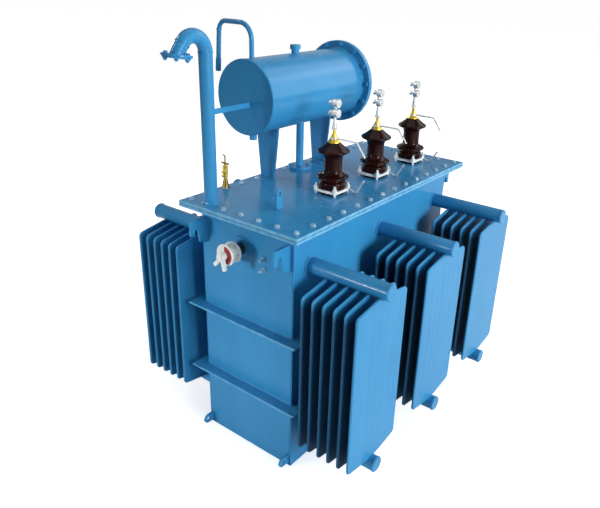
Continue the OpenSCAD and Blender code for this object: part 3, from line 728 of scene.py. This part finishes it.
# Cover bolts: hexagon bolts with plain washers through the cover, the gasket and the rim, with
# nuts below. They are zinc plated and have dulled a little.
def zinc_finish(name, dark, light, metal, rough):
    """Zinc plate with faint spangles, between two tones."""
    material, plating = new_finish(name)
    place = plating.node("TexCoord", output="Object")
    spangle = plating.node("TexVoronoi", links={"Vector": place, "Scale": 240.0}, output="Distance")
    cloud = place.noise(60.0, 3.0)
    plating.coated({
        "Base Color": cloud.ramp(0.3, 0.7).blend(dark, light),
        "Metallic": metal,
        "Roughness": rough + 0.14 * spangle + 0.10 * cloud,
    })
    return material


dull_zinc = zinc_finish("dull_zinc", (0.24, 0.44, 0.58, 1), (0.44, 0.64, 0.75, 1), 0.50, 0.36)
rim_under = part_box("rim_flange")[0].z
bolt_line = (0.591, 0.257)
cover_bolt_size = 0.0100
bolt_turn = 0.7
long_count = 14
short_count = 7
cover_bolt_places = []
for step in range(long_count):
    x = bolt_line[0] * (2 * step / (long_count - 1) - 1)
    cover_bolt_places += [(x, -bolt_line[1]), (x, bolt_line[1])]
for step in range(1, short_count - 1):
    y = bolt_line[1] * (2 * step / (short_count - 1) - 1)
    cover_bolt_places += [(-bolt_line[0], y), (bolt_line[0], y)]
cover_bolts = laid_out(bolt_set(cover_bolt_size, cover_top - rim_under), [
    Matrix.Translation((x, y, cover_top)) @ Matrix.Rotation(bolt_turn * index, 4, "Z")
    for index, (x, y) in enumerate(cover_bolt_places)
])
bpy.ops.object.shade_smooth_by_angle(angle=bolt_smooth)
set_on(cover_bolts, "cover_bolts", dull_zinc)

# Earthing studs: two threaded studs on round bosses welded to the left end wall, each with a
# washer and two nuts. They are left in bare zinc, because paint would keep the lug from contact.
earth_size = 0.0070
earth_y = -0.090
earth_z = (0.888, 0.846)
earth_parts = [
    bar(20, 0.0092, 0.0, 0.005, 0.0008),
    bar(12, earth_size * 0.5, 0.0, 0.026, earth_size * 0.10),
    bar(18, earth_size * 1.05, 0.005, 0.0065, 0.0004),
    bar(6, earth_size * 0.95, 0.0065, 0.0120, 0.0007),
    bar(6, earth_size * 0.95, 0.0135, 0.0190, 0.0007),
]
earth_studs = laid_out(joined(earth_parts), [
    Matrix.Translation((-tank_half_l, earth_y, z)) @ Matrix.Rotation(-math.pi / 2, 4, "Y")
    for z in earth_z
])
bpy.ops.object.shade_smooth_by_angle(angle=bolt_smooth)
set_on(earth_studs, "earthing_studs", dull_zinc)

# High-voltage bushings: each a wet-process porcelain with a dark brown glaze, turned to a foot,
# two sheds and a barrel, on a round seat of the same ware below the clamp.
glaze, glaze_paint = new_finish("brown_glaze")
glaze_spot = glaze_paint.node("TexCoord", output="Object")
glaze_pool = glaze_spot.noise(26.0, 3.0)
glaze_speck = glaze_spot.noise(420.0, 2.0)
glaze_tone = glaze_pool.ramp(0.3, 0.7).blend((0.010, 0.0016, 0.0011, 1), (0.024, 0.0036, 0.0023, 1))
glaze_paint.coated({
    "Base Color": (0.4 * glaze_speck.ramp(0.62, 0.72)).blend(glaze_tone, (0.050, 0.011, 0.007, 1)),
    "Roughness": 0.04 + 0.05 * glaze_pool,
    "Normal": glaze_pool.bump(0.06, 0.0008),
    "Specular IOR Level": 0.15,
})


def turned(profile, sides):
    """Turn a shape about Z: a disc is extruded and resized from ring to ring of (radius, height)."""
    radius, height = profile[0]
    bpy.ops.mesh.primitive_circle_add(
        vertices=sides, radius=radius, fill_type="NGON", location=(0, 0, height))
    piece = bpy.context.object
    bpy.ops.object.transform_apply(location=True, rotation=False, scale=False)
    bpy.ops.object.mode_set(mode="EDIT")
    bpy.ops.mesh.select_mode(type="FACE")
    bpy.ops.mesh.select_all(action="SELECT")
    for (r0, z0), (r1, z1) in zip(profile, profile[1:]):
        bpy.ops.mesh.extrude_region_move(TRANSFORM_OT_translate={"value": (0, 0, z1 - z0)})
        bpy.ops.transform.resize(value=(r1 / r0, r1 / r0, 1), center_override=(0, 0, 0))
    bpy.ops.mesh.select_all(action="SELECT")
    bpy.ops.mesh.normals_make_consistent(inside=False)
    bpy.ops.object.mode_set(mode="OBJECT")
    return piece


def arc(centre, radius, start, end, steps):
    """Points of a quarter or half round in a profile, by angles from the outward direction."""
    turns = [math.radians(start + (end - start) * step / steps) for step in range(steps + 1)]
    out, up = centre
    return [(out + radius * math.cos(turn), up + radius * math.sin(turn)) for turn in turns]


clamp_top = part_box("hv_clamps")[1].z
porcelain_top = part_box("hv_porcelains")[1].z
porcelain_h = porcelain_top - clamp_top
hv_places = [(-0.160, -0.088), (0.150, -0.088), (0.460, -0.088)]
turned_sides = 72
glaze_smooth = math.radians(50)
foot_r = 0.053
shed_r = 0.064
barrel_r = 0.0365
lip_r = 0.006
low_shed = 0.047
high_shed = porcelain_h - 0.032
profile = [(0.047, 0.0)]
profile += arc((foot_r - 0.005, 0.005), 0.005, -90, 0, 4)
profile += arc((foot_r - 0.006, 0.023), 0.006, 0, 70, 4)
profile += [(0.0445, 0.0315), (0.0425, 0.0340), (0.0430, 0.0365), (0.0470, 0.0392)]
profile += arc((shed_r - lip_r, low_shed), lip_r, -75, 66, 9)
profile += [(0.0555, 0.0538), (0.0480, 0.0568), (0.0430, 0.0598), (0.0390, 0.0640), (0.0372, 0.0685)]
profile += [(barrel_r, 0.0740), (barrel_r, high_shed - 0.032), (0.0372, high_shed - 0.026)]
profile += [(0.0392, high_shed - 0.0200), (0.0430, high_shed - 0.0145), (0.0490, high_shed - 0.0095)]
profile += arc((shed_r - lip_r, high_shed), lip_r, -70, 62, 9)
profile += [(0.0540, high_shed + 0.0090), (0.0460, high_shed + 0.0150), (0.0380, high_shed + 0.0215)]
profile += [(0.0320, high_shed + 0.0262), (0.0285, high_shed + 0.0298), (0.0250, porcelain_h)]
porcelain = turned(profile, turned_sides)
seat_r = 0.050
seat_round = 0.003
seat_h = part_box("hv_clamps")[0].z - cover_top
seat_profile = arc((seat_r - seat_round, seat_round), seat_round, -90, 0, 3)
seat_profile += arc((seat_r - seat_round, seat_h - seat_round), seat_round, 0, 90, 3)
seat = turned(seat_profile, turned_sides)
seat.data.transform(Matrix.Translation((0, 0, cover_top - clamp_top)))
bushing = joined([porcelain, seat])
porcelains = laid_out(bushing, [Matrix.Translation((x, y, clamp_top)) for x, y in hv_places])
bpy.ops.object.shade_smooth_by_angle(angle=glaze_smooth)
set_on(porcelains, "glazed_porcelains", glaze)
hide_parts("hv_porcelains")

# Clamps, connectors and horns: a square plate on four studs holds each bushing down, a connector
# with two wire grips stands on its stem, and a pair of arcing horns faces it. All are zinc coated.
bright_zinc = zinc_finish("bright_zinc", (0.62, 0.66, 0.66, 1), (0.84, 0.87, 0.86, 1), 0.75, 0.30)
spray_zinc = zinc_finish("sprayed_zinc", (0.80, 0.83, 0.82, 1), (0.92, 0.94, 0.93, 1), 0.25, 0.42)
broken_arris("hv_clamps", "hv_clamps_zinc", 0.0014, spray_zinc)
broken_arris("hv_connectors", "hv_connectors_zinc", 0.0009, bright_zinc)
nodes["hv_horns"].data.materials.clear()
nodes["hv_horns"].data.materials.append(bright_zinc)

stud_out = 0.045
stud_size = 0.010
clamp_t = clamp_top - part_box("hv_clamps")[0].z
stud_parts = [
    bar(12, stud_size * 0.5, -clamp_t - seat_h, stud_size * 2.2, stud_size * 0.10),
    bar(6, stud_size * 0.98, stud_size * 0.2, stud_size * 1.0, stud_size * 0.10),
    bar(20, stud_size * 1.05, 0.0, stud_size * 0.2, stud_size * 0.05),
]
studs = laid_out(joined(stud_parts), [
    Matrix.Translation((x + dx, y + dy, clamp_top)) @ Matrix.Rotation(dx * 9 + x, 4, "Z")
    for x, y in hv_places
    for dx in (-stud_out, stud_out)
    for dy in (-stud_out, stud_out)
])
bpy.ops.object.shade_smooth_by_angle(angle=bolt_smooth)
set_on(studs, "clamp_studs", spray_zinc)

# Brass terminals and oil valve: turned brass, bright where handled and duller in the corners.
# The stems carry the connectors, and the valve stands on the back edge of the cover.
lathe_scale = (1, 1, 1600)
brass_tones = ((0.60, 0.40, 0.050, 1), (0.90, 0.68, 0.13, 1))
cone_tone = (0.085, 0.062, 0.014, 1)
head_tone = (0.12, 0.075, 0.035, 1)


def brass_finish(name, metal, foot=None):
    """Turned brass with a fine lathe line. On a valve that stands at the height foot, the cone at
    the bottom and the head have gone dark."""
    material, turning = new_finish(name)
    place = turning.node("TexCoord", output="Object")
    cloud = place.noise(55.0, 4.0)
    lathe_line = turning.node("Mapping", links={"Vector": place, "Scale": lathe_scale}).noise(1.0, 1.0)
    tone = cloud.ramp(0.32, 0.68).blend(*brass_tones)
    if foot is not None:
        up = place.axis("Z") - foot
        tone = (0.90 * (1 - up.ramp(0.040, 0.046))).blend(tone, cone_tone)
        tone = (0.75 * up.ramp(0.093, 0.097)).blend(tone, head_tone)
    turning.coated({
        "Base Color": tone,
        "Metallic": metal,
        "Roughness": 0.24 + 0.16 * cloud,
        "Normal": lathe_line.bump(0.12, 0.0003),
    })
    return material


brass = brass_finish("turned_brass", 0.9)
for brass_node in ("hv_terminals", "lv_terminals"):
    broken_arris(brass_node, brass_node + "_brass", 0.0010, brass)

cap_profile = [(0.0228, 0.0), (0.0240, 0.0014), (0.0236, 0.0038), (0.0216, 0.0062)]
cap_profile += [(0.0200, 0.0094), (0.0190, 0.0128), (0.0180, 0.0138)]
cap_sides = 48
cap_smooth = math.radians(35)
terminal_caps = laid_out(turned(cap_profile, cap_sides), [
    Matrix.Translation((x, y, porcelain_top)) for x, y in hv_places])
bpy.ops.object.shade_smooth_by_angle(angle=cap_smooth)
set_on(terminal_caps, "terminal_caps", brass)

valve_brass = brass_finish("valve_brass", 0.85, cover_top)
broken_arris("oil_valve", "oil_valve_brass", 0.0006, valve_brass)

# Low-voltage bushings: four small brown porcelains in a row on the far end wall, clamped through
# the wall from inside. Each brass stud has a washer and a pair of nuts for the cable lug.
broken_arris("lv_porcelains", "lv_porcelains_glazed", 0.0010, glaze)
lv_seat = 0.010
lv_pitch = 0.095
lv_z = 0.800
lv_nut_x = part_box("lv_terminals")[0].x + lv_seat
lug_nuts = [
    bar(24, 0.0190, 0.0, 0.003, 0.0006),
    bar(6, 0.0172, 0.003, 0.015, 0.0014),
    bar(24, 0.0190, 0.022, 0.025, 0.0006),
    bar(6, 0.0172, 0.025, 0.037, 0.0014),
]
lv_nuts = laid_out(joined(lug_nuts), [
    Matrix.Translation((lv_nut_x, (step - 1.5) * lv_pitch, lv_z)) @ along_x for step in range(4)])
bpy.ops.object.shade_smooth_by_angle(angle=bolt_smooth)
set_on(lv_nuts, "lv_stud_nuts", brass)

# Tap switch: a cast aluminium ring and dial plate on a barrel on the end wall, and a forked handle
# that turns on its shaft. The barrel, from the wall out to the ring, is coloured near black, and half
# of the dial is painted red.
cast, cast_paint = new_finish("cast_aluminium")
cast_spot = cast_paint.node("TexCoord", output="Object")
cast_grain = cast_spot.noise(320.0, 3.0)
cast_tone = cast_grain.ramp(0.3, 0.7).blend((0.70, 0.76, 0.74, 1), (0.84, 0.89, 0.87, 1))
# From the wall out to the ring, the barrel is coloured near black.
cast_out = -tank_half_l - cast_spot.axis("X")
barrel_part = 1 - cast_out.ramp(0.0442, 0.0448)
cast_paint.coated({
    "Base Color": barrel_part.blend(cast_tone, (0.010, 0.014, 0.020, 1)),
    "Metallic": 0.35 * (1 - barrel_part),
    "Roughness": 0.36 + 0.16 * cast_grain,
    "Normal": cast_grain.bump(0.25, 0.0005),
})
broken_arris("tap_switch", "tap_switch_barrel", 0.0010, cast)

dial, dial_paint = new_finish("tap_dial_paint")
dial_spot = dial_paint.node("TexCoord", output="Object")
dial_y = dial_spot.axis("Y") - tap_axis[0]
dial_z = dial_spot.axis("Z") - tap_axis[1]
dial_r = dial_paint.math("POWER", dial_y * dial_y + dial_z * dial_z, 0.5)
red_band = dial_r.ramp(0.0135, 0.0145) * (1 - dial_r.ramp(0.0335, 0.0345))
right_half = (0.10 * dial_z - dial_y).ramp(-0.0005, 0.0005)
dial_mask = red_band * right_half
dial_grain = dial_spot.noise(300.0, 2.0)
dial_cloud = dial_grain.ramp(0.3, 0.7)
dial_red = dial_cloud.blend((0.30, 0.010, 0.020, 1), (0.40, 0.018, 0.028, 1))
dial_pale = dial_cloud.blend((0.70, 0.75, 0.73, 1), (0.84, 0.88, 0.85, 1))
dial_paint.coated({
    "Base Color": dial_mask.blend(dial_pale, dial_red),
    "Metallic": 0.3 * (1 - dial_mask),
    "Roughness": 0.34 + 0.12 * dial_grain,
})
broken_arris("tap_dial", "tap_dial_plate", 0.0006, dial)
broken_arris("tap_handle", "tap_handle_fork", 0.0016, cast, "tap_handle")

ring_face = -tank_half_l - 0.055
ring_screw_r = 0.0345
ring_screw_count = 6
screw_parts = [bar(16, 0.0042, -0.004, 0.0024, 0.0010), bar(6, 0.0022, 0.0010, 0.0030, 0.0002)]
ring_screws = laid_out(joined(screw_parts), [
    Matrix.Translation((ring_face, *tap_axis))
    @ Matrix.Rotation((step + 0.5) * math.tau / ring_screw_count, 4, "X")
    @ Matrix.Translation((0, 0, ring_screw_r)) @ Matrix.Rotation(-math.pi / 2, 4, "Y")
    for step in range(ring_screw_count)
])
bpy.ops.object.shade_smooth_by_angle(angle=bolt_smooth)
set_on(ring_screws, "tap_ring_screws", dull_zinc)

# At the end nothing is left selected.
bpy.ops.object.select_all(action="DESELECT")
